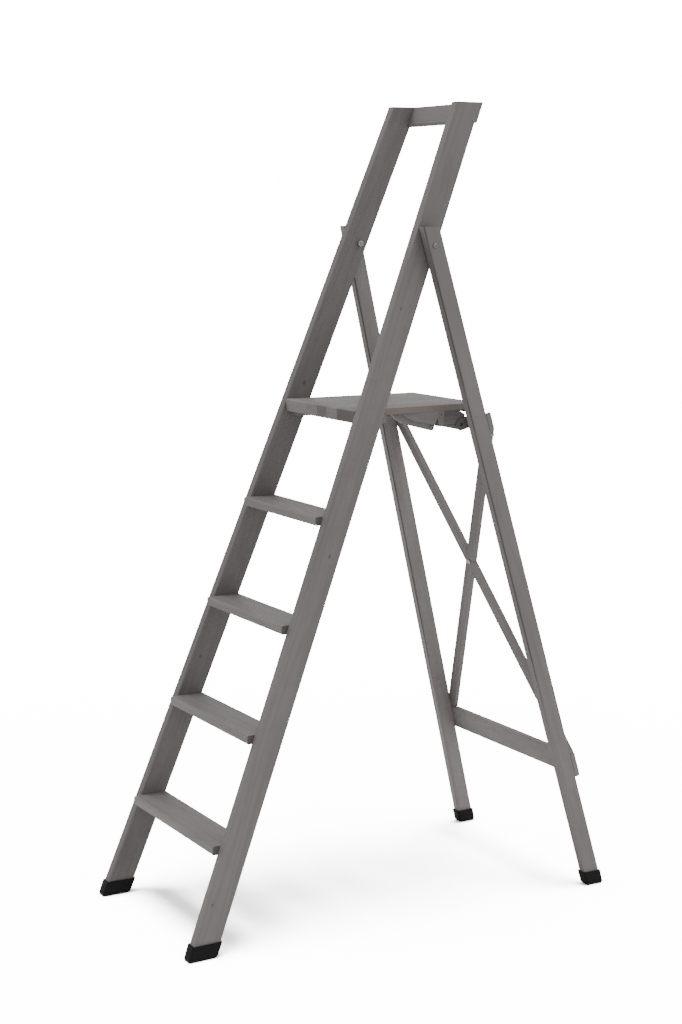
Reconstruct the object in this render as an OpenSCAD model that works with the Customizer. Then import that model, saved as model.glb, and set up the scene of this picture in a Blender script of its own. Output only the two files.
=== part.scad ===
// Wooden step ladder with a folding platform and a hand rail.
// Origin: centre of the footprint on the floor. X is the width, +Y the rear, +Z up. Millimetres.

/* [Front frame] */
// Height of the stile tops above the floor
ladder_h = 1864; // [1700:1:2100]
// Width over the stiles at the floor
base_w = 500; // [420:1:620]
// Width over the stiles at their tops
top_w = 300; // [280:1:400]
// Lean of the stiles from the vertical, in degrees
stile_lean = 21.75; // [18:0.05:25]
// Thickness of a stile, across the ladder
stile_t = 25; // [20:0.5:32]
// Width of a stile, front to back
stile_w = 61; // [52:0.5:75]
// Radius of the softened edges of the stiles
stile_r = 2.5; // [1:0.1:4]

/* [Treads] */
// Height of the top of the first tread
first_rise = 241; // [200:1:280]
// Height from one tread to the next
rise = 235; // [200:1:260]
// Number of treads below the platform
treads = 4; // [4:1:4]
// Thickness of a tread
tread_t = 20; // [16:0.5:28]
// How far a tread stands in front of the stiles
nose = 18; // [8:0.5:24]
// How deep a tread end is let into its stile
housing = 7; // [4:0.5:10]

/* [Hand rail] */
// Height of the hand rail's front face, level with the stile tops
rail_h = 43.5; // [30:0.5:60]
// Thickness of the hand rail board
rail_t = 14; // [12:0.5:20]
// How far the hand rail stands behind the stiles
rail_proud = 5; // [2:0.5:9]

/* [Rear frame] */
// Height of the hinge bolts above the floor
hinge_h = 1542; // [1450:1:1650]
// Lean of the rear legs from the vertical, in degrees
leg_lean = 14.85; // [12:0.05:18]
// Thickness of a rear leg, across the ladder
leg_t = 22.5; // [18:0.5:28]
// Width of a rear leg, front to back
leg_w = 41.5; // [36:0.5:52]
// Width over the rear legs at the floor
rear_base_w = 581; // [500:1:700]
// Gap between stile and rear leg at the hinge bolt
hinge_gap = 2.4; // [2:0.1:5]
// How far the rear legs stand above the hinge bolts
leg_over = 42; // [30:1:60]
// Distance from the front face of a stile to the hinge bolt
hinge_in = 40.5; // [28:0.5:48]
// Distance from the front face of a rear leg to the hinge bolt
leg_hinge_in = 16.7; // [14:0.1:24]
// Diameter of the hinge bolts
hinge_d = 8; // [6:0.5:10]
// Height of the top edge of the lower rail
low_rail_z = 330; // [260:1:420]
// Height of the lower rail board
low_rail_h = 57; // [45:1:80]
// Thickness of the lower rail and of the braces
slat_t = 12.5; // [12:0.5:20]
// Width of a diagonal brace
brace_w = 27; // [24:1:40]
// Height of the brace ends on the rear legs
brace_top = 1127; // [1110:1:1135]
// Height of the lower brace ends
brace_low = 350; // [340:1:420]
// How far the lower brace ends lie inside the leg centres
brace_low_in = 15; // [10:0.5:18]

/* [Platform] */
// Height of the top of the platform
platform_h = 1177; // [1120:1:1200]
// Thickness of the platform board
board_t = 14; // [12:0.5:18]
// How far the platform stands in front of the stiles
platform_nose = 2; // [0:0.5:10]
// Depth of the platform board, front to back
board_d = 349; // [320:1:355]
// Width of the platform at its rear edge
board_rear_w = 289; // [260:1:292]
// Height of the batten under the front edge
front_batten_h = 15; // [10:0.5:18]
// Height of the batten under the rear edge
rear_batten_h = 8; // [6:0.5:12]
// Height of the platform pivots below the underside of the board
pivot_drop = 17; // [14:0.5:22]
// Height of the knee pivots below the underside of the board
knee_drop = 11; // [10:0.5:14]
// Height of the rear link pivots below the underside of the board
rear_drop = 37; // [32:0.5:42]
// Thickness of a side cheek
cheek_t = 18; // [14:0.5:20]
// Thickness of a folding link
link_t = 20; // [16:0.5:22]

/* [Feet] */
// Wall of the rubber feet
foot_wall = 3; // [2:0.1:5]
// Height of the front feet
front_foot_h = 35; // [28:1:50]
// Height of the rear feet
rear_foot_h = 34; // [28:1:50]

/* [Fits] */
// Clearance round the tread ends
housing_gap = 0.15; // [0.05:0.05:0.4]
// Radial clearance of the moving pins
pin_gap = 0.06; // [0.03:0.01:0.1]
// Side clearance between moving boards
side_gap = 1.2; // [0.8:0.1:3]
// Radial clearance of screws, dowels and fixed pins
fit_gap = 0.05; // [0.02:0.01:0.1]

/* [Hidden] */

wood = [0.56, 0.54, 0.52];
pale_wood = [0.66, 0.64, 0.62];
steel = [0.62, 0.63, 0.64];
rubber = [0.06, 0.06, 0.06];
far = 2 * ladder_h;
cut = 1;

// The side view: y measured from the front edge of the stiles at the floor.
function front_y(z) = z * tan(stile_lean);
function rear_y(z) = front_y(z) + stile_w / cos(stile_lean);
function stile_x(z) = base_w / 2 - (base_w - top_w) / 2 * z / ladder_h;

hinge_y = front_y(hinge_h) + hinge_in / cos(stile_lean);
leg_foot_y = hinge_y - leg_hinge_in / cos(leg_lean) + hinge_h * tan(leg_lean);
function leg_front_y(z) = leg_foot_y - z * tan(leg_lean);
function leg_rear_y(z) = leg_front_y(z) + leg_w / cos(leg_lean);

// Half width to the inner face of a rear leg.
leg_in_top = stile_x(hinge_h) + hinge_gap;
leg_in_foot = rear_base_w / 2 - leg_t;
function leg_in_x(z) = leg_in_foot + (leg_in_top - leg_in_foot) * z / hinge_h;

// The footprint is centred on the origin.
foot_front_y = -foot_wall / cos(stile_lean);
foot_rear_y = leg_rear_y(0) + foot_wall / cos(leg_lean);
shift_y = -(foot_front_y + foot_rear_y) / 2;

stile_splay = atan((base_w - top_w) / 2 / ladder_h * cos(stile_lean));
leg_splay = atan((leg_in_foot - leg_in_top) / hinge_h * cos(leg_lean));
fold_angle = stile_lean + leg_lean;
lift_angle = 90 - stile_lean;

// Places of the platform's pivots in the side view, [y, z].
under = platform_h - board_t;
pivot_z = under - pivot_drop;
p_hinge = [hinge_y, hinge_h];
p_pivot = [hinge_y - (hinge_h - pivot_z) * tan(stile_lean), pivot_z];
rear_z = under - rear_drop;
p_rear = [(leg_front_y(rear_z) + leg_rear_y(rear_z)) / 2, rear_z];

// The knee lies where both limits of the fold keep the link at one length.
function turn(p, a) = [p[0] * cos(a) - p[1] * sin(a), p[0] * sin(a) + p[1] * cos(a)];
rear_folded = p_hinge + turn(p_rear - p_hinge, -fold_angle);
open_gap = p_rear - p_pivot;
shut_gap = rear_folded - p_pivot;
knee_w = open_gap - turn(shut_gap, -lift_angle);
knee_up = pivot_drop - knee_drop;
knee_along = ((open_gap * open_gap - shut_gap * shut_gap) / 2 - knee_up * knee_w[1]) / knee_w[0];
p_knee = p_pivot + [knee_along, knee_up];

// Platform outline.
board_front = front_y(platform_h) - platform_nose;
board_rear = board_front + board_d;
board_front_w = 2 * (stile_x(platform_h) - stile_t / cos(stile_splay) - side_gap);
function board_half(y) = board_front_w / 2
    - (board_front_w - board_rear_w) / 2 * (y - board_front) / board_d;

// Cheeks, links and brackets, from the outside inwards.
cheek_out = board_half(p_knee[0] + 64) - 0.6;
cheek_in = cheek_out - cheek_t;
link_out = cheek_in - 2;
link_in = link_out - link_t;
ear_t = 3;
ear_in = link_out + 1;
plate_t = 3;

module world() translate([0, shift_y, 0]) children();
module both() { children(); mirror([1, 0, 0]) children(); }

// What a round of radius r takes off a square corner at the origin.
module corner(r) difference() {
    translate([-cut, -cut]) square(r + cut);
    translate([r, r]) circle(r, $fn = 48);
}

// A bar's cross section with softened edges.
module soft_bar(w, h, r) difference() {
    square([w, h]);
    for (c = [[0, 0, 0], [w, 0, 90], [w, h, 180], [0, h, 270]])
        translate([c[0], c[1]]) rotate(c[2]) corner(r);
}

// Local frame of the right stile: x outwards from its outer face, y its width, z its length.
module stile_frame() {
    translate([base_w / 2, 0, 0]) rotate([-stile_lean, 0, 0]) rotate([0, -stile_splay, 0]) children();
}

// Local frame of the right rear leg: x outwards from its inner face.
module leg_frame() {
    translate([leg_in_foot, leg_front_y(0), 0]) rotate([leg_lean, 0, 0])
        rotate([0, -leg_splay, 0]) children();
}

// Side view planes: y is the depth from the front face of a stile or leg, z its length.
module front_plane() rotate([-stile_lean, 0, 0]) children();
module rear_plane() translate([0, leg_foot_y, 0]) rotate([leg_lean, 0, 0]) children();
function front_u(z, v) = (z + v * sin(stile_lean)) / cos(stile_lean);
function rear_u(z, v) = (z - v * sin(leg_lean)) / cos(leg_lean);
function stile_out_x(u) = base_w / 2 - tan(stile_splay) * u;
function leg_inner_x(u) = leg_in_foot - tan(leg_splay) * u;

// Everything between two heights.
module band(z0, z1) translate([-far / 2, -far / 2, z0]) cube([far, far, z1 - z0]);

// Round hole or pin along X at a side view place.
module across(p, d, x0, x1) translate([x0, p[0], p[1]]) rotate([0, 90, 0])
    cylinder(d = d, h = x1 - x0, $fn = 48);

// Side view outline carried across the width.
module slab(x0, x1) translate([x0, 0, 0]) rotate([90, 0, 90]) linear_extrude(x1 - x0) children();

// Space between the stiles, grown into them by some depth; then the same for the rear legs.
module side_space(depth) translate([-far + depth, -far / 2, -far / 4]) cube([far, far, far]);
module between(depth) intersection() {
    stile_frame() side_space(depth - stile_t);
    mirror([1, 0, 0]) stile_frame() side_space(depth - stile_t);
}
module inside_legs(depth) intersection() {
    leg_frame() side_space(depth);
    mirror([1, 0, 0]) leg_frame() side_space(depth);
}

// Tread section: a soft nose in front, the back planed flush with the stiles.
function tread_top(i) = first_rise + (i - 1) * rise;
nose_r = 5;
under_r = 3;
housing_stop = 8;

module tread_section(i, grow) {
    z1 = tread_top(i);
    z0 = z1 - tread_t;
    y0 = front_y(z1) - nose;
    difference() {
        polygon([[y0 - grow, z0 - grow], [rear_y(z0 - grow) + 2 * grow, z0 - grow],
            [rear_y(z1 + grow) + 2 * grow, z1 + grow], [y0 - grow, z1 + grow]]);
        if (grow == 0) {
            translate([y0, z1]) rotate(-90) corner(nose_r);
            translate([y0, z0]) corner(under_r);
        }
    }
}

// Part of a section that enters the stiles, short of their front faces.
module housed(grow) {
    rotate(-stile_lean) translate([housing_stop - grow, -far / 2]) square([far, far]);
}

module tread_end(i, grow) slab(-base_w, base_w)
    intersection() { tread_section(i, grow); housed(grow); }

module tread(i) color(pale_wood) world() difference() {
    union() {
        intersection() {
            slab(-base_w, base_w) tread_section(i, 0);
            between(-housing_gap);
        }
        intersection() {
            tread_end(i, 0);
            between(housing - housing_gap);
        }
    }
    both() tread_dowel_pair(i, fit_gap);
}
module tread_1() tread(1);
module tread_2() tread(2);
module tread_3() tread(3);
module tread_4() tread(4);

// Dowels that pin each tread end to its stile.
dowel_d = 8;
dowel_l = 24;
dowel_in = 9;
module tread_dowel_pair(i, grow) {
    z = tread_top(i) - tread_t / 2;
    for (t = [0.38, 0.72]) {
        y = front_y(z) + t * stile_w / cos(stile_lean);
        translate([stile_x(z) - stile_t + housing + dowel_in - dowel_l - grow, y, z])
            rotate([0, 90, 0])
                cylinder(d = dowel_d + 2 * grow, h = dowel_l + 2 * grow, $fn = 32);
    }
}

module tread_dowels() color(pale_wood) world() both()
    for (i = [1:treads]) tread_dowel_pair(i, 0);

// Places on the pivots' axes.
hinge_out_x = stile_out_x(front_u(hinge_h, hinge_in));
hinge_in_x = hinge_out_x - stile_t / cos(stile_splay);
leg_hinge_in_x = leg_inner_x(rear_u(hinge_h, leg_hinge_in));
leg_hinge_out_x = leg_hinge_in_x + leg_t / cos(leg_splay);
pivot_in_x = stile_out_x(front_u(pivot_z, hinge_in)) - stile_t / cos(stile_splay);
pin_d = 8;
pin_hold = 16;
end_gap = 0.4;

// Wood screw along +Z from the face of its head.
screw_d = 4.5;
screw_head = 8;
head_h = 2.5;
module screw(l, grow) {
    lead = grow > 0 ? cut : 0;
    translate([0, 0, -lead]) cylinder(d = screw_head + 2 * grow, h = head_h + grow + lead, $fn = 32);
    cylinder(d = screw_d + 2 * grow, h = l + grow, $fn = 24);
}

// Hand rail, let into the rear edges of the stiles.
rail_edge = 5;
rail_screw_l = 34;
rail_len = front_u(ladder_h, stile_w + rail_proud) - front_u(ladder_h - rail_h, stile_w + rail_proud - rail_t)
    + rail_edge / 2;
rail_v0 = stile_w + rail_proud - rail_t;
rail_u0 = front_u(ladder_h - rail_h, rail_v0);
module rail_slot() front_plane() slab(-base_w, base_w)
    translate([rail_v0 - housing_gap, rail_u0 - housing_gap])
        square([2 * rail_t, 2 * rail_h]);
module rail_screw_set(grow) for (k = [0.3, 0.7]) {
    u = rail_u0 + k * rail_h;
    front_plane() translate([stile_out_x(u) - stile_t / 2, stile_w + rail_proud, u])
        rotate([90, 0, 0]) screw(rail_screw_l, grow);
}
module hand_rail() color(wood) world() difference() {
    intersection() {
        front_plane() slab(-base_w, base_w)
            translate([rail_v0, rail_u0]) soft_bar(rail_t, rail_len, rail_edge);
        between(stile_t - end_gap);
        band(0, ladder_h);
    }
    both() rail_screw_set(fit_gap);
}
module hand_rail_screws() color(steel) world() both() rail_screw_set(0);

// Stiles.
foot_sole = 6;
module stile() difference() {
    intersection() {
        stile_frame() translate([-stile_t, 0, -far / 4]) linear_extrude(far * 1.2)
            soft_bar(stile_t, stile_w, stile_r);
        band(foot_sole + fit_gap, ladder_h);
    }
    for (i = [1:treads]) {
        intersection() {
            tread_end(i, housing_gap);
            between(housing);
        }
        tread_dowel_pair(i, fit_gap);
    }
    rail_slot();
    rail_screw_set(fit_gap);
    across(p_hinge, hinge_d + 2 * fit_gap, 0, base_w);
    across(p_pivot, pin_d + 2 * fit_gap, 0, pivot_in_x + pin_hold + end_gap);
}
module right_stile() color(wood) world() stile();
module left_stile() color(wood) world() mirror([1, 0, 0]) stile();

// Rubber feet: cups over the ends of stiles and legs.
foot_r = 4;
module front_foot() difference() {
    intersection() {
        stile_frame() translate([-stile_t - foot_wall, -foot_wall, -far / 4])
            linear_extrude(far / 2)
                soft_bar(stile_t + 2 * foot_wall, stile_w + 2 * foot_wall, foot_r);
        band(0, front_foot_h);
    }
    intersection() {
        stile_frame() translate([-stile_t - fit_gap, -fit_gap, -far / 4]) linear_extrude(far / 2)
            soft_bar(stile_t + 2 * fit_gap, stile_w + 2 * fit_gap, stile_r);
        band(foot_sole, far);
    }
}
leg_r = 3;
module rear_foot() difference() {
    intersection() {
        leg_frame() translate([-foot_wall, -foot_wall, -far / 4]) linear_extrude(far / 2)
            soft_bar(leg_t + 2 * foot_wall, leg_w + 2 * foot_wall, foot_r);
        band(0, rear_foot_h);
    }
    intersection() {
        leg_frame() translate([-fit_gap, -fit_gap, -far / 4]) linear_extrude(far / 2)
            soft_bar(leg_t + 2 * fit_gap, leg_w + 2 * fit_gap, leg_r);
        band(foot_sole, far);
    }
}
module front_right_foot() color(rubber) world() front_foot();
module front_left_foot() color(rubber) world() mirror([1, 0, 0]) front_foot();
module rear_right_foot() color(rubber) world() rear_foot();
module rear_left_foot() color(rubber) world() mirror([1, 0, 0]) rear_foot();

// Outline across the legs' rear plane, carried from one depth to another.
module rear_slab(v0, v1) rear_plane() translate([0, v1, 0]) rotate([90, 0, 0])
    linear_extrude(v1 - v0) children();
module rear_screw(x, u, grow) rear_plane() translate([x, leg_w + slat_t, u])
    rotate([90, 0, 0]) screw(rear_screw_l, grow);
rear_screw_l = 36;

// Lower rail, screwed on from behind.
slat_r = 2.5;
low_len = low_rail_h / cos(leg_lean);
low_u1 = rear_u(low_rail_z, leg_w);
module rail_end_screws(grow) for (k = [0.3, 0.7]) {
    u = low_u1 - k * low_len;
    rear_screw(leg_inner_x(u) + leg_t / 2, u, grow);
}
module lower_rear_rail() color(wood) world() difference() {
    intersection() {
        rear_plane() slab(-base_w, base_w)
            translate([leg_w, low_u1 - low_len]) soft_bar(slat_t, low_len, slat_r);
        inside_legs(leg_t - end_gap);
    }
    both() rail_end_screws(fit_gap);
}
module rear_rail_screws() color(steel) world() both() rail_end_screws(0);

// Diagonal braces, halved together where they cross.
rivet_d = 6;
rivet_head = 12;
rivet_h = 2.5;
lap_gap = 0.1;
brace_xt = leg_in_x(brace_top) + leg_t / 2;
brace_xl = leg_in_x(brace_low) + leg_t / 2 - brace_low_in;
brace_ut = rear_u(brace_top, leg_w);
brace_ul = rear_u(brace_low, leg_w);
brace_u0 = low_u1 + 0.3;
brace_u1 = rear_u(under - 5, leg_w);
brace_tilt = atan((brace_ut - brace_ul) / (brace_xt + brace_xl));
cross_u = brace_ul + brace_xl * tan(brace_tilt);
module brace_strip(grow) translate([-brace_xl, brace_ul]) rotate(brace_tilt)
    translate([-far / 10, -brace_w / 2 - grow]) square([far / 2, brace_w + 2 * grow]);
module brace() intersection() {
    rear_slab(leg_w, leg_w + slat_t) intersection() {
        brace_strip(0);
        translate([-base_w, brace_u0]) square([2 * base_w, brace_u1 - brace_u0]);
    }
    inside_legs(leg_t - end_gap);
}
module brace_end_screws(grow) {
    for (u = [brace_ut - 22, brace_ut + 12]) rear_screw(leg_inner_x(u) + leg_t / 2, u, grow);
    rear_screw(leg_inner_x(low_u1 + 16) + 6, low_u1 + 16, grow);
}
module rivet_hole() rear_slab(0, 3 * leg_w) translate([0, cross_u])
    circle(rivet_d / 2 + fit_gap, $fn = 32);
module rising_brace() color(wood) world() difference() {
    brace();
    rear_slab(leg_w + slat_t / 2, leg_w + slat_t + cut) mirror([1, 0]) brace_strip(lap_gap);
    both() brace_end_screws(fit_gap);
    rivet_hole();
}
module falling_brace() color(wood) world() difference() {
    mirror([1, 0, 0]) brace();
    rear_slab(leg_w - cut, leg_w + slat_t / 2) brace_strip(lap_gap);
    both() brace_end_screws(fit_gap);
    rivet_hole();
}
module brace_rivet() color(steel) world() {
    rear_slab(leg_w - rivet_h, leg_w) translate([0, cross_u]) circle(rivet_head / 2, $fn = 48);
    rear_slab(leg_w - cut, leg_w + slat_t + cut) translate([0, cross_u])
        circle(rivet_d / 2, $fn = 32);
    rear_slab(leg_w + slat_t, leg_w + slat_t + rivet_h) translate([0, cross_u])
        circle(rivet_head / 2, $fn = 48);
}
module brace_screws() color(steel) world() both() brace_end_screws(0);

// Rear legs.
module leg() difference() {
    intersection() {
        leg_frame() translate([0, 0, -far / 4]) linear_extrude(far) soft_bar(leg_t, leg_w, leg_r);
        band(foot_sole + fit_gap, hinge_h + leg_over);
    }
    across(p_hinge, hinge_d + 2 * pin_gap, 0, base_w);
    bracket_plate(fit_gap);
    rail_end_screws(fit_gap);
    brace_end_screws(fit_gap);
}
module right_rear_leg() color(wood) world() leg();
module left_rear_leg() color(wood) world() mirror([1, 0, 0]) leg();

// Steel brackets let into the legs; their ears carry the rear pivots of the links.
bracket_half = 14;
bracket_over = 21;
bracket_u = rear_u(rear_z, leg_w / 2);
module bracket_plate(grow) {
    lead = grow > 0 ? cut : 0;
    rear_slab(leg_w - plate_t - grow, leg_w + lead)
        translate([ear_in, bracket_u - bracket_half - grow])
            square([leg_in_x(rear_z) + bracket_over - ear_in + grow, 2 * (bracket_half + grow)]);
}
module link_bracket() difference() {
    union() {
        bracket_plate(0);
        rear_plane() slab(ear_in, ear_in + ear_t) {
            translate([leg_w / 2, bracket_u]) circle(bracket_half, $fn = 64);
            translate([leg_w / 2, bracket_u - bracket_half]) square([leg_w / 2, 2 * bracket_half]);
        }
    }
    across(p_rear, pin_d + 2 * pin_gap, 0, base_w);
    brace_end_screws(fit_gap);
}
module right_link_bracket() color(steel) world() link_bracket();
module left_link_bracket() color(steel) world() mirror([1, 0, 0]) link_bracket();

// Hinge bolts: a washer between stile and leg, a nut inside the stile.
washer_d = 18;
nut_d = 15;
nut_h = 6.5;
flat_gap = 0.05;
// The boards lean against the bolt, so a flat ring on it starts where its rim clears them.
washer_from = hinge_out_x + washer_d / 2 * tan(stile_splay) + flat_gap;
washer_to = leg_hinge_in_x - washer_d / 2 * tan(leg_splay) - flat_gap;
nut_from = hinge_in_x - nut_d / 2 * tan(stile_splay) - flat_gap - nut_h;
module hinge_bolt() difference() {
    union() {
        across(p_hinge, hinge_d, nut_from - 1.5, leg_hinge_out_x + 1.5);
        translate([leg_hinge_out_x + 0.7, p_hinge[0], p_hinge[1]]) rotate([0, 90, 0])
            cylinder(d1 = 11, d2 = 8, h = 2.4, $fn = 48);
    }
    translate([leg_hinge_out_x + 0.9, p_hinge[0], p_hinge[1]]) rotate([0, 90, 0])
        cylinder(d = 5.5, h = 3, $fn = 6);
}
module right_hinge_bolt() color(steel) world() hinge_bolt();
module left_hinge_bolt() color(steel) world() mirror([1, 0, 0]) hinge_bolt();
module hinge_washers() color(steel) world() both() difference() {
    across(p_hinge, washer_d, washer_from, washer_to);
    across(p_hinge, hinge_d + 2 * fit_gap, 0, base_w);
}
module hinge_nuts() color(steel) world() both() difference() {
    translate([nut_from, p_hinge[0], p_hinge[1]]) rotate([0, 90, 0])
        cylinder(d = nut_d, h = nut_h, $fn = 6);
    across(p_hinge, hinge_d + 2 * fit_gap, 0, base_w);
}

// Platform: a board with a batten under each end.
board_r = 5;
front_batten_d = 11;
rear_batten_d = 29;
batten_y = board_front + 0.3;
module plan(y0, y1, inset, z0, z1) translate([0, 0, z0]) linear_extrude(z1 - z0)
    polygon([[-board_half(y0) + inset, y0], [board_half(y0) - inset, y0],
        [board_half(y1) - inset, y1], [-board_half(y1) + inset, y1]]);
module platform_board() color(pale_wood) world() difference() {
    intersection() {
        plan(board_front, board_rear, 0, under, platform_h);
        slab(-base_w, base_w) difference() {
            translate([board_front, under]) square([board_d, board_t]);
            translate([board_front, platform_h]) rotate(-90) corner(board_r);
            translate([board_rear, platform_h]) rotate(180) corner(board_r / 2);
        }
    }
    both() dowel_set(fit_gap);
}
module platform_front_batten() color(wood) world() difference() {
    plan(batten_y, batten_y + front_batten_d, 0.3, under - front_batten_h, under);
    both() dowel_set(fit_gap);
}
module platform_rear_batten() color(wood) world() difference() {
    plan(board_rear - 1 - rear_batten_d, board_rear - 1, 1, under - rear_batten_h, under);
    both() dowel_set(fit_gap);
}

// Blind dowels up into the board.
plug_d = 6;
plug_up = 9;
module plug(x, y, down, grow) translate([x, y, under - down - grow])
    cylinder(d = plug_d + 2 * grow, h = down + plug_up + 2 * grow, $fn = 32);
module dowel_set(grow) {
    for (x = [0.35, 0.75]) {
        plug(x * board_half(board_front), batten_y + front_batten_d / 2, front_batten_h - 4, grow);
        plug(x * board_half(board_rear), board_rear - 15, rear_batten_h - 2, grow);
    }
    plug(cheek_in + 6, p_knee[0] - 38, 8, grow);
    plug(cheek_in + 6, p_knee[0] + 50, 10, grow);
    for (y = [18, 40]) plug((block_in + block_out) / 2, p_pivot[0] + y, 9, grow);
}
module platform_dowels() color(pale_wood) world() both() dowel_set(0);

// Pivot blocks under the board, with the pins they turn on.
block_t = 21;
block_out = board_half(p_pivot[0]) - 1;
block_in = block_out - block_t;
module pivot_block() difference() {
    slab(block_in, block_out) translate(p_pivot)
        polygon([[-20, pivot_drop], [-20, -2], [-12, -10], [34, -10], [52, 2], [52, pivot_drop]]);
    across(p_pivot, pin_d + 2 * pin_gap, 0, base_w);
    dowel_set(fit_gap);
}
module right_pivot_block() color(wood) world() pivot_block();
module left_pivot_block() color(wood) world() mirror([1, 0, 0]) pivot_block();
module platform_pivot_pins() color(steel) world() both()
    across(p_pivot, pin_d, block_in + 1, pivot_in_x + pin_hold);

// Side cheeks: the outer layer is stepped back along the lower edge.
step_in = 6;
lobe = [49, -27];
lobe_r = 7;
upper_bolt = [70.5, 3];
module cheek_core() {
    polygon([[-60, knee_drop], [-47, -2], [-28, -14], [43.5, -33], [56, -27], [61, -6],
        [67, -25], [78, -24], [80.5, knee_drop]]);
    translate(lobe) circle(lobe_r, $fn = 48);
}
module cheek_face() polygon([[-52, knee_drop], [-31, 5], [-3, -9], [41, -17], [54, -22.5],
    [61, -6], [67, -25], [78, -24], [80.5, knee_drop]]);
module cheek() difference() {
    union() {
        slab(cheek_in, cheek_out - step_in) translate(p_knee) cheek_core();
        slab(cheek_in, cheek_out) translate(p_knee) cheek_face();
    }
    across(p_knee, pin_d + 2 * fit_gap, 0, cheek_out - 5 + fit_gap);
    cheek_bolt(lobe, cheek_out - step_in, fit_gap);
    cheek_bolt(upper_bolt, cheek_out, fit_gap);
    dowel_set(fit_gap);
}
module cheek_bolt(place, x, grow) {
    translate([x, p_knee[0] + place[0], p_knee[1] + place[1]]) rotate([0, 90, 0]) {
        if (grow > 0) translate([0, 0, -10 - grow])
            cylinder(d = 7 + 2 * grow, h = 11, $fn = 32);
        else difference() {
            union() {
                cylinder(d = 10.5, h = 2, $fn = 48);
                translate([0, 0, -10]) cylinder(d = 7, h = 10, $fn = 32);
            }
            translate([0, 0, -4]) cylinder(d = 5.6, h = 7, $fn = 6);
        }
    }
}
module right_cheek() color(wood) world() cheek();
module left_cheek() color(wood) world() mirror([1, 0, 0]) cheek();
module cheek_bolts() color(steel) world() both() {
    cheek_bolt(lobe, cheek_out - step_in, 0);
    cheek_bolt(upper_bolt, cheek_out, 0);
}

// Knee pins: fast in the cheeks, turning in the links.
module knee_pins() color(steel) world() both() {
    across(p_knee, pin_d, link_in - 1, cheek_out - 5);
    across(p_knee, 14, link_in - 3.6, link_in - 0.6);
}

// Folding links between the cheeks and the rear brackets.
eye_r = 8.5;
module link() difference() {
    slab(link_in, link_out) {
        translate(p_knee) circle(eye_r, $fn = 48);
        polygon([p_knee + [0, -eye_r], p_knee + [68.5, -24], p_rear + [0, -13], p_rear + [13, -4],
            p_rear + [13, 24], [p_rear[0] - 10, under - 0.6], [p_knee[0], under - 0.6]]);
    }
    across(p_knee, pin_d + 2 * pin_gap, 0, base_w);
    across(p_rear, pin_d + 2 * fit_gap, 0, base_w);
}
module link_pin() {
    across(p_rear, pin_d, link_in - 1, link_out + 0.5);
    across(p_rear, 13, link_in - 3, link_in);
}
module right_link() color(wood) world() link();
module left_link() color(wood) world() mirror([1, 0, 0]) link();
module right_link_pin() color(steel) world() link_pin();
module left_link_pin() color(steel) world() mirror([1, 0, 0]) link_pin();

right_stile();
left_stile();
tread_1();
tread_2();
tread_3();
tread_4();
tread_dowels();
hand_rail();
hand_rail_screws();
front_right_foot();
front_left_foot();
right_rear_leg();
left_rear_leg();
lower_rear_rail();
rising_brace();
falling_brace();
brace_rivet();
rear_rail_screws();
brace_screws();
rear_right_foot();
rear_left_foot();
right_hinge_bolt();
left_hinge_bolt();
hinge_washers();
hinge_nuts();
right_link_bracket();
left_link_bracket();
platform_board();
platform_front_batten();
platform_rear_batten();
right_cheek();
left_cheek();
right_pivot_block();
left_pivot_block();
platform_pivot_pins();
cheek_bolts();
platform_dowels();
knee_pins();
right_link();
left_link();
right_link_pin();
left_link_pin();
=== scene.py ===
import bmesh
import bpy
import math
import numpy as np
from mathutils import Matrix, Vector


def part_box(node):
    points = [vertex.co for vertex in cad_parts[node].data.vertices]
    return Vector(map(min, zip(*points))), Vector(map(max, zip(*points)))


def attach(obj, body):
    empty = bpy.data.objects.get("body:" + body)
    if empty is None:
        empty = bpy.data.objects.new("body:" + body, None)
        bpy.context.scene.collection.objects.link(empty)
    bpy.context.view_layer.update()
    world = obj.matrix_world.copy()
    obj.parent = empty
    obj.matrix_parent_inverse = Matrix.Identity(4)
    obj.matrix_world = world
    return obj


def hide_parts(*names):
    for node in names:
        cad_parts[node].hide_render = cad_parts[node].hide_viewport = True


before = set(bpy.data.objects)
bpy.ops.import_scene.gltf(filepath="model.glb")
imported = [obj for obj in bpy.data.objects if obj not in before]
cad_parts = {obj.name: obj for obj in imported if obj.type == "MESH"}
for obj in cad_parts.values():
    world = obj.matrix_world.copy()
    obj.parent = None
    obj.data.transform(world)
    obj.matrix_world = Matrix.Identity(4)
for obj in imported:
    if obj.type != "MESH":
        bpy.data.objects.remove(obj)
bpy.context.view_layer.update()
print("step ladder: frame loaded,", len(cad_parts), "nodes")

# How the ladder stands, in metres and degrees, as the CAD has it.
ladder = {
    "stileLean": 21.75, "legLean": 14.85,
    "stileSplay": 2.8528, "legSplay": 3.5281,
    "stileWidth": 0.025, "stileDepth": 0.061, "legWidth": 0.0225, "legDepth": 0.0415,
    "shiftY": -0.546592, "stileFootX": 0.25, "legFootX": 0.268, "legFootY": 1.05033,
    "braceTilt": 29.26,
}
sides = ((1, "right"), (-1, "left"))


def place(x, y, z):
    return Matrix.Translation((x, y, z))


def turn(axis, degrees):
    return Matrix.Rotation(math.radians(degrees), 4, axis)


# Each board has its own axes, with z along its grain.
def stileAxes(side):
    return (place(side * ladder["stileFootX"], ladder["shiftY"], 0)
            @ turn("X", -ladder["stileLean"]) @ turn("Y", -side * ladder["stileSplay"]))


def legAxes(side):
    return (place(side * ladder["legFootX"], ladder["shiftY"] + ladder["legFootY"], 0)
            @ turn("X", ladder["legLean"]) @ turn("Y", -side * ladder["legSplay"]))


def braceAxes(side):
    return (place(0, ladder["shiftY"] + ladder["legFootY"], 0)
            @ turn("X", ladder["legLean"]) @ turn("Y", side * ladder["braceTilt"]))


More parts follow.
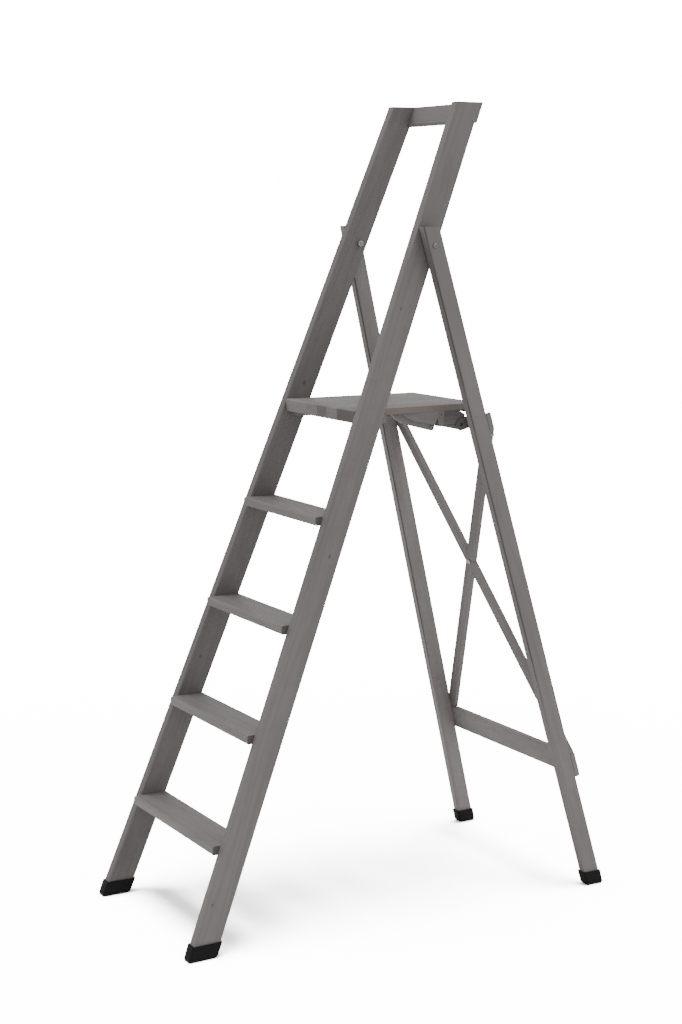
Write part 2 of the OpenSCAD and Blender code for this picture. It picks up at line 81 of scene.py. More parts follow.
def acrossAxes(node, lean=0.0):
    # The grain runs along X, from the top edge of the node's box.
    low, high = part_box(node)
    return place(0, (low[1] + high[1]) / 2, high[2]) @ turn("X", lean) @ turn("Y", 90)


def foreAndAftAxes(node):
    # The grain runs along Y, from the front edge of the node's box.
    low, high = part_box(node)
    return place(0, low[1], high[2]) @ turn("X", -90)


def newGroup(name, inputs, outputs):
    group = bpy.data.node_groups.new(name, "ShaderNodeTree")
    for title, kind, value in inputs:
        socket = group.interface.new_socket(title, in_out="INPUT", socket_type="NodeSocket" + kind)
        if value is not None:
            socket.default_value = value
    for title, kind in outputs:
        group.interface.new_socket(title, in_out="OUTPUT", socket_type="NodeSocket" + kind)
    return group, group.nodes.new("NodeGroupInput"), group.nodes.new("NodeGroupOutput")


class Wiring:
    # Short ways to place nodes and join them in one tree.
    def __init__(self, tree):
        self.tree = tree

    def add(self, kind, **settings):
        node = self.tree.nodes.new("ShaderNode" + kind)
        for key, value in settings.items():
            setattr(node, key, value)
        return node

    def join(self, source, target):
        self.tree.links.new(source, target)

    def put(self, socket, value):
        if isinstance(value, bpy.types.NodeSocket):
            self.join(value, socket)
        else:
            socket.default_value = value

    def maths(self, operation, a, b=None):
        node = self.add("Math", operation=operation)
        self.put(node.inputs[0], a)
        if b is not None:
            self.put(node.inputs[1], b)
        return node.outputs[0]

    def stretch(self, vector, scale):
        node = self.add("VectorMath", operation="MULTIPLY")
        self.put(node.inputs[0], vector)
        self.put(node.inputs[1], scale)
        return node.outputs[0]

    def noise(self, vector, scale, detail, rough=0.5, warp=0.0):
        node = self.add("TexNoise")
        self.put(node.inputs["Vector"], vector)
        node.inputs["Scale"].default_value = scale
        node.inputs["Detail"].default_value = detail
        node.inputs["Roughness"].default_value = rough
        node.inputs["Distortion"].default_value = warp
        return node.outputs["Fac"]

    def span(self, value, low, high, toLow=0.0, toHigh=1.0):
        node = self.add("MapRange", clamp=True, interpolation_type="SMOOTHSTEP")
        self.put(node.inputs[0], value)
        for index, number in enumerate((low, high, toLow, toHigh), start=1):
            self.put(node.inputs[index], number)
        return node.outputs[0]

    def blend(self, factor, first, second):
        node = self.add("Mix", data_type="RGBA", blend_type="MIX", clamp_factor=True)
        self.put(node.inputs[0], factor)
        self.put(node.inputs[6], first)
        self.put(node.inputs[7], second)
        return node.outputs[2]


# Stained softwood. Each pattern has its scale, and how far it is drawn out along the grain.
softwood = {"ringScale": 16.0, "ringDraw": 0.07, "rings": 14.0, "lateFrom": 0.58, "lateTo": 0.98,
            "lateDark": 0.42, "lateRelief": 0.35, "fibreScale": 620.0, "fibreDraw": 0.018,
            "fibreDark": 0.34, "fibreRelief": 0.7, "poreScale": 1500.0, "poreDraw": 0.03,
            "poreDark": 0.25, "poreRelief": 0.5, "broadScale": 9.0, "broadDraw": 0.25,
            "cloudScale": 26.0, "smoothest": 0.46, "roughest": 0.66}


def makeStainedGrain():
    # The board's own axes come in as Grain, in metres, with z along the grain.
    group, start, end = newGroup("stainedGrain", [
        ("Grain", "Vector", None), ("Stain", "Color", (0.2, 0.19, 0.18, 1)),
        ("Light", "Color", (0.3, 0.28, 0.27, 1)), ("Dark", "Color", (0.1, 0.09, 0.085, 1)),
        ("Warm", "Color", (0.22, 0.16, 0.13, 1)), ("Contrast", "Float", 1.0),
        ("Mottle", "Float", 0.5)],
        [("Color", "Color"), ("Roughness", "Float"), ("Height", "Float")])
    w = Wiring(group)
    grain = start.outputs["Grain"]

    def drawnOut(pattern, *shape):
        along = w.stretch(grain, (1.0, 1.0, softwood[pattern + "Draw"]))
        return w.noise(along, softwood[pattern + "Scale"], *shape)

    # The rings: noise drawn out along z, read as level lines, so they run and close like a cut log's.
    rings = w.maths("MULTIPLY", drawnOut("ring", 2.0, 0.45, 0.3), softwood["rings"])
    late = w.span(w.maths("PINGPONG", rings, 1.0), softwood["lateFrom"], softwood["lateTo"])
    fibre = drawnOut("fibre", 4.0, 0.62)
    pores = w.span(drawnOut("pore", 2.0, 0.5), 0.60, 0.74)
    broad = drawnOut("broad", 3.0, 0.55)
    cloud = w.span(w.noise(grain, softwood["cloudScale"], 4.0, 0.6, 0.4), 0.5, 0.74)
    contrast = start.outputs["Contrast"]
    tone = w.blend(w.span(broad, 0.32, 0.7), start.outputs["Stain"], start.outputs["Light"])
    tone = w.blend(w.maths("MULTIPLY", w.maths("MULTIPLY", late, softwood["lateDark"]), contrast),
                   tone, start.outputs["Dark"])
    strands = w.maths("MULTIPLY", contrast, softwood["fibreDark"])
    tone = w.blend(w.maths("MULTIPLY", w.span(fibre, 0.38, 0.72), strands),
                   tone, start.outputs["Dark"])
    tone = w.blend(w.maths("MULTIPLY", cloud, start.outputs["Mottle"]), tone, start.outputs["Warm"])
    tone = w.blend(w.maths("MULTIPLY", pores, softwood["poreDark"]), tone, start.outputs["Dark"])
    w.join(tone, end.inputs["Color"])
    w.join(w.span(fibre, 0.3, 0.8, softwood["smoothest"], softwood["roughest"]), end.inputs["Roughness"])
    relief = w.maths("SUBTRACT", w.maths("MULTIPLY", fibre, softwood["fibreRelief"]),
                     w.maths("MULTIPLY", pores, softwood["poreRelief"]))
    relief = w.maths("ADD", relief, w.maths("MULTIPLY", late, softwood["lateRelief"]))
    w.join(relief, end.inputs["Height"])
    return group


# Dust and finger marks: a soft blotch mask, and a fine speckle.
def makeHandledDust():
    group, start, end = newGroup("handledDust", [
        ("Place", "Vector", None), ("Size", "Float", 20.0), ("Amount", "Float", 0.5)],
        [("Mask", "Float"), ("Speck", "Float")])
    w = Wiring(group)
    node = w.add("TexNoise")
    w.join(start.outputs["Place"], node.inputs["Vector"])
    w.join(start.outputs["Size"], node.inputs["Scale"])
    node.inputs["Detail"].default_value = 5.0
    blotch = w.span(node.outputs["Fac"], 0.42, 0.72)
    w.join(w.maths("MULTIPLY", blotch, start.outputs["Amount"]), end.inputs["Mask"])
    w.join(w.noise(start.outputs["Place"], 900.0, 2.0), end.inputs["Speck"])
    return group


stainedGrain = makeStainedGrain()
handledDust = makeHandledDust()
print("step ladder: shared effects made")


def newMaterial(name, roughness, metallic=0.0, specular=0.5):
    material = bpy.data.materials.new(name)
    material.use_nodes = True
    tree = material.node_tree
    shader = tree.nodes["Principled BSDF"]
    shader.inputs["Roughness"].default_value = roughness
    shader.inputs["Metallic"].default_value = metallic
    shader.inputs["Specular IOR Level"].default_value = specular
    return material, Wiring(tree), shader


def boardVector(w, axes):
    # Object coordinates brought into the board's own axes.
    coordinates = w.add("TexCoord")
    mapping = w.add("Mapping", vector_type="TEXTURE")
    mapping.inputs["Location"].default_value = axes.to_translation()
    mapping.inputs["Rotation"].default_value = axes.to_euler("XYZ")
    w.join(coordinates.outputs["Object"], mapping.inputs["Vector"])
    return mapping.outputs["Vector"]


# Colours of the stained boards, and how strongly rings and mottle show.
woods = {
    "frame": dict(stain=(0.160, 0.147, 0.145), light=(0.192, 0.178, 0.175), dark=(0.104, 0.093, 0.088),
                  warm=(0.176, 0.136, 0.122), contrast=0.5, mottle=0.42),
    "tread": dict(stain=(0.178, 0.167, 0.163), light=(0.212, 0.201, 0.196), dark=(0.112, 0.101, 0.095),
                  warm=(0.190, 0.152, 0.136), contrast=0.5, mottle=0.36),
    "lamella": dict(stain=(0.196, 0.187, 0.180), light=(0.238, 0.229, 0.220), dark=(0.112, 0.101, 0.095),
                    warm=(0.200, 0.150, 0.134), contrast=0.6, mottle=0.30),
    "dowel": dict(stain=(0.235, 0.220, 0.205), light=(0.275, 0.255, 0.240), dark=(0.15, 0.13, 0.12),
                  warm=(0.240, 0.200, 0.170), contrast=0.5, mottle=0.2),
}
# A knot's ring and heart: where each is full and gone, in radii, and its strength.
knotLook = {"drawn": 0.62, "wobbleScale": 260.0, "wobble": 0.5, "ring": (0.9, 3.0, 0.5),
            "heart": (0.7, 1.6, 0.6), "heartColour": (0.045, 0.034, 0.028)}
# The painted shade along one front edge of a rear leg, in metres, and the faces across the grain by how
# squarely they cut it.
arrisShadeLook = {"full": 0.0016, "gone": 0.0036, "fadeUp": 0.3, "patchScale": 14.0, "strength": 0.8,
             "colour": (0.055, 0.045, 0.04)}
endGrainLook = {"from": 0.72, "to": 0.92, "strength": 0.62, "darker": 0.62}
woodBump = {"strength": 0.35, "distance": 0.0003}


def rgba(colour):
    return (*colour, 1.0)


def woodMaterial(name, axes, kind, grainStart, tone=1.0, knots=(), arrisShade=None, lamellae=None,
                 endGrain=True):
    look = {key: tuple(tone * part for part in value) if isinstance(value, tuple) else value
            for key, value in woods[kind].items()}
    material, w, shader = newMaterial(name, 0.55, specular=0.35)
    own = boardVector(w, axes)
    offset = w.add("VectorMath", operation="ADD")
    w.join(own, offset.inputs[0])
    offset.inputs[1].default_value = (0.37 * grainStart, 0.23 * grainStart, 1.9 * grainStart)
    grain = offset.outputs[0]
    split = w.add("SeparateXYZ")
    w.join(own, split.inputs[0])
    strip = None
    if lamellae:
        # Glued strips of uneven width: each shifts the grain and has its own tint.
        cells = w.add("TexVoronoi", voronoi_dimensions="1D")
        seams = w.add("TexVoronoi", voronoi_dimensions="1D", feature="DISTANCE_TO_EDGE")
        for pattern in (cells, seams):
            w.join(split.outputs[0], pattern.inputs["W"])
            pattern.inputs["Scale"].default_value = 1.0 / lamellae["width"]
            pattern.inputs["Randomness"].default_value = lamellae["uneven"]
        channel = w.add("SeparateColor")
        w.join(cells.outputs["Color"], channel.inputs[0])
        strip = channel.outputs[0]
        shift = w.add("CombineXYZ")
        w.join(w.maths("MULTIPLY", strip, 3.0), shift.inputs[1])
        w.join(w.maths("MULTIPLY", strip, 7.0), shift.inputs[2])
        moved = w.add("VectorMath", operation="ADD")
        w.join(grain, moved.inputs[0])
        w.join(shift.outputs[0], moved.inputs[1])
        grain = moved.outputs[0]
    node = w.add("Group", node_tree=stainedGrain)
    w.join(grain, node.inputs["Grain"])
    for socket in ("stain", "light", "dark", "warm"):
        node.inputs[socket.capitalize()].default_value = rgba(look[socket])
    node.inputs["Contrast"].default_value = look["contrast"]
    node.inputs["Mottle"].default_value = look["mottle"]
    colour = node.outputs["Color"]
    if lamellae:
        tinted = w.blend(w.span(strip, 0.0, 1.0, 0.0, lamellae["tint"]), colour, rgba(look["dark"]))
        warmer = w.maths("GREATER_THAN", strip, lamellae["warmAbove"])
        tinted = w.blend(w.maths("MULTIPLY", warmer, lamellae["warmth"]), tinted, rgba(look["warm"]))
        joint = w.span(seams.outputs["Distance"], 0.0, lamellae["seam"], 1.0, 0.0)
        colour = w.blend(w.maths("MULTIPLY", joint, lamellae["seamDark"]), tinted, rgba(look["dark"]))
    # Knots: a dark heart, with a warmer ring round it.
    for x, y, z, radius in knots:
        away = w.add("VectorMath", operation="DISTANCE")
        w.join(w.stretch(own, (1.0, 1.0, knotLook["drawn"])), away.inputs[0])
        away.inputs[1].default_value = (x, y, z * knotLook["drawn"])
        wobble = w.maths("MULTIPLY", w.noise(own, knotLook["wobbleScale"], 2.0),
                         radius * knotLook["wobble"])
        reach = w.maths("ADD", away.outputs["Value"], wobble)
        for part, paint in (("ring", look["warm"]), ("heart", knotLook["heartColour"])):
            full, gone, strength = knotLook[part]
            colour = w.blend(w.span(reach, radius * full, radius * gone, strength, 0.0), colour,
                             rgba(paint))
    if arrisShade:
        # Painted shade: a dark band along one edge, standing for the shade on the leg's front arris,
        # fading out towards the foot.
        edgeX, edgeY, reachUp = arrisShade
        dx = w.maths("ABSOLUTE", w.maths("SUBTRACT", split.outputs[0], edgeX))
        dy = w.maths("ABSOLUTE", w.maths("SUBTRACT", split.outputs[1], edgeY))
        near = w.span(w.maths("MAXIMUM", dx, dy), arrisShadeLook["full"], arrisShadeLook["gone"], 1.0, 0.0)
        along = w.span(split.outputs[2], reachUp, reachUp + arrisShadeLook["fadeUp"])
        patchy = w.span(w.noise(own, arrisShadeLook["patchScale"], 3.0), 0.25, 0.55, 0.45, 1.0)
        dark = w.maths("MULTIPLY", w.maths("MULTIPLY", near, along), patchy)
        colour = w.blend(w.maths("MULTIPLY", dark, arrisShadeLook["strength"]), colour,
                         rgba(arrisShadeLook["colour"]))
    if endGrain:
        # Faces across the grain drink more stain.
        facing = w.add("TexCoord")
        along = w.add("VectorMath", operation="DOT_PRODUCT")
        w.join(facing.outputs["Normal"], along.inputs[0])
        along.inputs[1].default_value = axes.to_3x3().col[2]
        cut = w.span(w.maths("ABSOLUTE", along.outputs["Value"]), endGrainLook["from"],
                     endGrainLook["to"], 0.0, endGrainLook["strength"])
        if strip is not None:
            # Glued ends drink unevenly, which shows them as separate blocks.
            cut = w.maths("MULTIPLY", cut, w.span(strip, 0.1, 0.9, 0.15, 1.25))
        colour = w.blend(cut, colour, rgba(endGrainLook["darker"] * part for part in look["dark"]))
    w.join(colour, shader.inputs["Base Color"])
    w.join(node.outputs["Roughness"], shader.inputs["Roughness"])
    bump = w.add("Bump")
    bump.inputs["Strength"].default_value = woodBump["strength"]
    bump.inputs["Distance"].default_value = woodBump["distance"]
    w.join(node.outputs["Height"], bump.inputs["Height"])
    w.join(bump.outputs["Normal"], shader.inputs["Normal"])
    return material


# Steel, rubber and paint: colour and roughness from clean to dusty, the dust itself, and the bump.
finishes = {
    "zincSteel": dict(metallic=1.0, specular=0.5, clean=(0.46, 0.46, 0.46), dusty=(0.2576, 0.2576, 0.2576),
                      rough=(0.28, 0.50), dustSize=160.0, dustAmount=0.6, bump=0.2, bumpHeight=0.0001),
    "boltSteel": dict(metallic=1.0, specular=0.5, clean=(0.30, 0.30, 0.30), dusty=(0.168, 0.168, 0.168),
                      rough=(0.30, 0.52), dustSize=160.0, dustAmount=0.6, bump=0.2, bumpHeight=0.0001),
    "bootRubber": dict(metallic=0.0, specular=0.12, clean=(0.006, 0.006, 0.006),
                       dusty=(0.014, 0.0135, 0.013), rough=(0.5, 0.72), dustSize=45.0, dustAmount=0.5,
                       bump=0.3, bumpHeight=0.0002),
    "bracketPaint": dict(metallic=0.0, specular=0.3, clean=(0.150, 0.138, 0.135),
                         dusty=(0.105, 0.095, 0.09), rough=(0.42, 0.60), dustSize=70.0, dustAmount=0.5,
                         bump=0.25, bumpHeight=0.0001),
}


def dustedMaterial(name):
    look = finishes[name]
    material, w, shader = newMaterial(name, look["rough"][0], look["metallic"], look["specular"])
    coordinates = w.add("TexCoord")
    dust = w.add("Group", node_tree=handledDust)
    w.join(coordinates.outputs["Object"], dust.inputs["Place"])
    dust.inputs["Size"].default_value = look["dustSize"]
    dust.inputs["Amount"].default_value = look["dustAmount"]
    w.join(w.blend(dust.outputs["Mask"], rgba(look["clean"]), rgba(look["dusty"])),
           shader.inputs["Base Color"])
    w.join(w.span(dust.outputs["Mask"], 0.0, look["dustAmount"], *look["rough"]),
           shader.inputs["Roughness"])
    bump = w.add("Bump")
    bump.inputs["Strength"].default_value = look["bump"]
    bump.inputs["Distance"].default_value = look["bumpHeight"]
    w.join(dust.outputs["Speck"], bump.inputs["Height"])
    w.join(bump.outputs["Normal"], shader.inputs["Normal"])
    return material


def wear(node, material):
    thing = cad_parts[node]
    thing.data.materials.clear()
    thing.data.materials.append(material)


# Each board's colour is scaled by its own factor, partly for real differences in stain and partly as
# painted light and shade: the left stile is darkened as painted shade, and the left rear leg and lower
# rail are lightened as painted light.
boardStainAndShade = {"right_stile": 0.96, "left_stile": 0.86, "right_rear_leg": 1.03, "left_rear_leg": 1.26,
             "lower_rear_rail": 1.20}
# Knots as across, front to back, along the board, and their radius.
knotsOn = {"right": [(0.0, 0.012, 0.135, 0.0022), (0.0, 0.034, 0.94, 0.0026), (0.0, 0.020, 1.52, 0.0022)],
           "left": [(0.025, 0.030, 1.32, 0.0034), (0.025, 0.022, 0.62, 0.0028)],
           "handRail": [(0.034, 0.0, 0.04, 0.0026)]}
# Where each board's grain starts in the pattern; a pair stands one off it on either side.
grainFrom = {"stile": 1.0, "rear_leg": 4.0, "cheek": 9.0, "link": 11.0, "pivot_block": 13.0, "tread": 20.0,
             "hand_rail": 30.0, "lower_rear_rail": 31.0, "rising_brace": 33.0, "falling_brace": 35.0,
             "platform": 40.0, "rear_batten": 43.0, "dowel": 50.0}
arrisShadeFrom = 0.32  # how high on a rear leg the dark arris starts
platformAxes = foreAndAftAxes("platform_board")
for side, sideName in sides:
    wear(sideName + "_stile", woodMaterial(
        sideName + "StileWood", stileAxes(side), "frame", grainFrom["stile"] + side,
        tone=boardStainAndShade[sideName + "_stile"], knots=knotsOn[sideName]))
    # Each rear leg gets a band of painted shade along one front edge.
    wear(sideName + "_rear_leg", woodMaterial(
        sideName + "LegWood", legAxes(side), "frame", grainFrom["rear_leg"] + side,
        tone=boardStainAndShade[sideName + "_rear_leg"],
        arrisShade=(ladder["legWidth"] if side > 0 else 0.0, 0.0, arrisShadeFrom)))
    for part, word in (("cheek", "Cheek"), ("link", "Link"), ("pivot_block", "Block")):
        wear(f"{sideName}_{part}", woodMaterial(
            f"{sideName}{word}Wood", platformAxes, "frame", grainFrom[part] + side))
for count in range(1, 5):
    wear(f"tread_{count}", woodMaterial(
        f"tread{count}Wood", acrossAxes(f"tread_{count}"), "tread", grainFrom["tread"] + count))
wear("hand_rail", woodMaterial(
    "handRailWood", acrossAxes("hand_rail", -ladder["stileLean"]), "frame", grainFrom["hand_rail"],
    knots=knotsOn["handRail"], endGrain=False))
wear("lower_rear_rail", woodMaterial(
    "lowerRailWood", acrossAxes("lower_rear_rail", ladder["legLean"]), "frame",
    grainFrom["lower_rear_rail"], tone=boardStainAndShade["lower_rear_rail"], endGrain=False))
wear("rising_brace", woodMaterial("risingBraceWood", braceAxes(1), "frame", grainFrom["rising_brace"]))
wear("falling_brace", woodMaterial("fallingBraceWood", braceAxes(-1), "frame", grainFrom["falling_brace"]))
# The platform is glued up from strips.
strips = {"width": 0.044, "uneven": 0.7, "tint": 0.5, "warmAbove": 0.72, "warmth": 0.35,
          "seam": 0.02, "seamDark": 0.5}
wear("platform_board", woodMaterial(
    "platformWood", platformAxes, "lamella", grainFrom["platform"], lamellae=strips))
wear("platform_front_batten", woodMaterial(
    "frontBattenWood", platformAxes, "lamella", grainFrom["platform"], lamellae=strips))
wear("platform_rear_batten", woodMaterial(
    "rearBattenWood", acrossAxes("platform_rear_batten"), "frame", grainFrom["rear_batten"]))
dowelWood = woodMaterial("dowelWood", acrossAxes("tread_1"), "dowel", grainFrom["dowel"])
zincSteel, boltSteel, bootRubber, bracketPaint = map(dustedMaterial, finishes)
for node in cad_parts:
    if node.endswith("_foot"):
        wear(node, bootRubber)
    elif node.endswith("dowels"):
        wear(node, dowelWood)
    elif node.endswith("hinge_bolt"):
        wear(node, boltSteel)
    elif node.endswith("bracket"):
        wear(node, bracketPaint)
    elif any(word in node for word in ("screws", "bolts", "rivet", "washers", "nuts", "pin")):
        wear(node, zincSteel)
print("step ladder: materials on every node")


def ringFaces(rows, columns, start):
    # Quads between neighbouring rows of a grid, whose columns close into a ring.
    index = start + np.arange(rows * columns).reshape(rows, columns)
    following = np.roll(index, -1, axis=1)
    return np.stack([index[:-1], following[:-1], following[1:], index[1:]], 2).reshape(-1, 4)


def closedPiece(name, points, faces, material, smoothAngle):
    # Joins the poles of a grid, turns every face outwards and marks the sharp edges.
    mesh = bpy.data.meshes.new(name)
    mesh.from_pydata(points.tolist(), [], faces.tolist())
    tidy = bmesh.new()
    tidy.from_mesh(mesh)
    bmesh.ops.remove_doubles(tidy, verts=tidy.verts, dist=1e-6)
    bmesh.ops.recalc_face_normals(tidy, faces=tidy.faces)
    for edge in tidy.edges:
        edge.smooth = edge.calc_face_angle(0.0) < math.radians(smoothAngle)
    for face in tidy.faces:
        face.smooth = True
    tidy.to_mesh(mesh)
    tidy.free()
    mesh.materials.append(material)
    thing = bpy.data.objects.new(name, mesh)
    bpy.context.scene.collection.objects.link(thing)
    return thing


def looseBoxes(node):
    # The box round each separate solid of a node, read from its own mesh.
    mesh = bmesh.new()
    mesh.from_mesh(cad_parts[node].data)
    bmesh.ops.remove_doubles(mesh, verts=mesh.verts, dist=1e-6)
    waiting, boxes = set(mesh.verts), []
    while waiting:
        stack = [waiting.pop()]
        found = []
        while stack:
            vertex = stack.pop()
            found.append(tuple(vertex.co))
            for edge in vertex.link_edges:
                other = edge.other_vert(vertex)
                if other in waiting:
                    waiting.remove(other)
                    stack.append(other)
        found = np.array(found)
        boxes.append((found.min(0), found.max(0)))
    mesh.free()
    return sorted(boxes, key=lambda box: tuple(box[0]))


# The rubber boots: the wall flares towards the rim, and shallow grip ribs run round it.
boot = {"wall": 0.0032, "rimFlare": 0.0008, "toeRound": 0.0085, "sectionRound": 0.0045,
        "floorThickness": 0.006, "fit": 0.00004, "arcSteps": 8, "wallRows": 12,
        "ribs": 3, "ribDepth": 0.0005, "ribsFrom": 0.08, "ribsTo": 0.88,
        "rimRoom": 0.001, "rimDrop": 0.0008, "rimIn": 0.0006}


def roundedSection(width, depth, steps):
    # Corner centres and outward directions round a rectangle, four arcs of equal steps.
    corner = boot["sectionRound"] - boot["wall"]
    angle = np.concatenate([np.linspace(q * np.pi / 2, (q + 1) * np.pi / 2, steps) for q in range(4)])
    quarter = np.repeat(np.arange(4), steps)
    signX = np.array([1, -1, -1, 1])[quarter]
    signY = np.array([1, 1, -1, -1])[quarter]
    centre = np.stack([signX * (width / 2 - corner), signY * (depth / 2 - corner)], 1)
    return centre, np.stack([np.cos(angle), np.sin(angle)], 1), corner


def bootProfile(height):
    # Along the wall: in-out offset, height, and how far the ring has closed to the middle.
    wall, toe = boot["wall"], boot["toeRound"]
    rows = [(0.0, 0.0, 0.0), (0.0, 0.0, 0.55)]
    for turnBy in np.linspace(0, np.pi / 2, boot["arcSteps"]):
        rows.append((wall - toe + toe * np.sin(turnBy), toe - toe * np.cos(turnBy), 1.0))
    for share in np.linspace(boot["ribsFrom"], boot["ribsTo"], boot["wallRows"]):
        rib = boot["ribDepth"] * (0.5 - 0.5 * np.cos(share * 2 * np.pi * boot["ribs"]))
        rows.append((wall + boot["rimFlare"] * share - rib,
                     toe + share * (height - toe - boot["rimRoom"]), 1.0))
    # Over the rounded rim, down the inside and across the floor.
    rim, fit, drop, inwards = wall + boot["rimFlare"], boot["fit"], boot["rimDrop"], boot["rimIn"]
    floor = boot["floorThickness"]
    rows += [(rim, height - drop, 1.0), (rim - inwards, height - drop / 4, 1.0),
             (rim - inwards - drop, height, 1.0), (fit + inwards, height, 1.0),
             (fit, height - drop, 1.0), (fit, floor, 1.0), (0.0, floor, 0.5), (0.0, floor, 0.0)]
    return np.array(rows)


def makeBoot(node, body, side, foot):
    # Ring point = closing * corner centre + (closing * corner round + offset) * outward direction,
    # then slid along the leaning board as it rises.
    height = float(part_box(node)[1][2])
    centre, outward, corner = roundedSection(foot["width"], foot["depth"], boot["arcSteps"])
    offset, up, closing = bootProfile(height).T[:, :, None]
    x = closing * centre[:, 0] + (closing * corner + offset * (closing == 1)) * outward[:, 0]
    y = closing * centre[:, 1] + (closing * corner + offset * (closing == 1)) * outward[:, 1]
    up = up + 0 * x
    worldX = foot["x"] + foot["risingX"] * up + x + foot["skew"] * y
    worldY = foot["y"] + foot["risingY"] * up + y
    points = np.stack([side * worldX, worldY, up], 2)
    thing = closedPiece(node + "Boot", points.reshape(-1, 3), ringFaces(*x.shape, 0), bootRubber, 60)
    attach(thing, body)
    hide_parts(node)


lean, legLean = math.radians(ladder["stileLean"]), math.radians(ladder["legLean"])
splay, legSplay = math.radians(ladder["stileSplay"]), math.radians(ladder["legSplay"])
# Each board's section as the floor cuts it.
stileSection = {"width": ladder["stileWidth"] / math.cos(splay),
                "depth": ladder["stileDepth"] / math.cos(lean)}
legSection = {"width": ladder["legWidth"] / math.cos(legSplay),
              "depth": ladder["legDepth"] / math.cos(legLean)}
frontFoot = dict(stileSection, skew=-math.tan(splay) * math.sin(lean),
                 risingX=-math.tan(splay) / math.cos(lean), risingY=math.tan(lean))
rearFoot = dict(legSection, skew=math.tan(legSplay) * math.sin(legLean),
                risingX=-math.tan(legSplay) / math.cos(legLean), risingY=-math.tan(legLean))
# The middle of each section at floor level; the skew counts from the front edge.
frontFoot["y"] = ladder["shiftY"] + stileSection["depth"] / 2
frontFoot["x"] = (ladder["stileFootX"] - stileSection["width"] / 2
                  + frontFoot["skew"] * stileSection["depth"] / 2)
rearFoot["y"] = ladder["shiftY"] + ladder["legFootY"] + legSection["depth"] / 2
rearFoot["x"] = (ladder["legFootX"] + legSection["width"] / 2
                 + rearFoot["skew"] * legSection["depth"] / 2)
for side, sideName in sides:
    makeBoot(f"front_{sideName}_foot", "front_frame", side, frontFoot)
    makeBoot(f"rear_{sideName}_foot", "rear_frame", side, rearFoot)
print("step ladder: boots made")

# Hinge and sleeve bolts, turned about the X axis: radius of the shank, of the head's underside and
# of its crown, the head's height, and the driving socket.
boltLook = {
    "hinge": {"shank": 0.004, "flange": 0.0055, "crown": 0.0041, "head": 0.0024, "socket": 0.0026,
              "socketDepth": 0.0016, "chamfer": 0.0007, "threadLength": 0.008},
    "sleeve": {"shank": 0.0035, "flange": 0.00525, "crown": 0.0046, "head": 0.0019, "socket": 0.0028,
               "socketDepth": 0.0030, "chamfer": 0.0005, "threadLength": 0.0}}
boltGrid = {"around": 40, "domeSteps": 7, "threadPitch": 0.00125, "threadDepth": 0.0003,
            "flangeLip": 0.0004, "socketLip": 0.0005, "socketCone": 0.0004}


def boltProfile(inner, outer, look):
    # Rows of (x, radius) from the shank's end to the bottom of the socket.
    shank, cap = look["shank"], outer - look["head"]
    rows = [(inner, 0.0), (inner, shank - look["chamfer"]), (inner + look["chamfer"], shank)]
    pitch, lip, mouth = boltGrid["threadPitch"], boltGrid["flangeLip"], boltGrid["socketLip"]
    for count in range(int(look["threadLength"] / pitch)):
        start = inner + look["chamfer"] + count * pitch
        rows += [(start + 0.5 * pitch, shank - boltGrid["threadDepth"]), (start + pitch, shank)]
    rows += [(cap, shank), (cap, look["flange"])]
    # The head: a quarter ellipse from the flange up to the crown, then a rounded lip and the socket.
    for angle in np.linspace(0.0, np.pi / 2, boltGrid["domeSteps"]):
        rows.append((cap + lip + (look["head"] - lip) * np.sin(angle),
                     look["crown"] - lip + (look["flange"] - look["crown"] + lip) * np.cos(angle)))
    rows += [(outer, look["socket"] + mouth), (outer - 0.4 * mouth, look["socket"] + 0.2 * mouth),
             (outer - mouth, look["socket"]), (outer - look["socketDepth"], look["socket"]),
             (outer - look["socketDepth"] - boltGrid["socketCone"], 0.0)]
    return np.array(rows)


def turnedPoints(profile, side, y, z):
    # Each profile row becomes a ring: y = cos, z = sin of the angle, times the row's radius.
    angle = np.arange(boltGrid["around"]) * 2 * np.pi / boltGrid["around"]
    x = side * profile[:, :1] + 0 * angle
    return np.stack([x, y + profile[:, 1:] * np.cos(angle), z + profile[:, 1:] * np.sin(angle)], 2)


def makeBolts(node, body, look):
    # One turned bolt in the box of each loose solid, its head outwards.
    points, faces, start = [], [], 0
    for low, high in looseBoxes(node):
        side = 1 if low[0] > 0 else -1
        inner, outer = sorted((side * low[0], side * high[0]))
        rings = turnedPoints(boltProfile(inner, outer, look), side,
                             (low[1] + high[1]) / 2, (low[2] + high[2]) / 2)
        points.append(rings.reshape(-1, 3))
        faces.append(ringFaces(rings.shape[0], rings.shape[1], start))
        start += rings.shape[0] * rings.shape[1]
    thing = closedPiece(node + "Turned", np.concatenate(points), np.concatenate(faces), boltSteel, 38)
    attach(thing, body)
    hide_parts(node)


makeBolts("right_hinge_bolt", "front_frame", boltLook["hinge"])
makeBolts("left_hinge_bolt", "front_frame", boltLook["hinge"])
makeBolts("cheek_bolts", "platform", boltLook["sleeve"])
print("step ladder: bolts turned")

# Boards and brackets whose edges the CAD leaves sharp, with the width of the softening.
easedEdges = {"rising_brace": 0.0016, "falling_brace": 0.0016, "right_cheek": 0.0012,
              "left_cheek": 0.0012, "right_link": 0.0014, "left_link": 0.0014,
              "right_pivot_block": 0.001, "left_pivot_block": 0.001, "platform_rear_batten": 0.001,
              "right_link_bracket": 0.0005, "left_link_bracket": 0.0005}
easing = {"segments": 2, "sharperThan": 50, "weldWithin": 0.00001}
for node, width in easedEdges.items():
    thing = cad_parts[node]
    weld = thing.modifiers.new("weld", "WELD")
    weld.merge_threshold = easing["weldWithin"]
    ease = thing.modifiers.new("ease", "BEVEL")
    ease.width, ease.segments, ease.limit_method = width, easing["segments"], "ANGLE"
    ease.angle_limit = math.radians(easing["sharperThan"])
    ease.use_clamp_overlap = True
print("step ladder: edges eased")

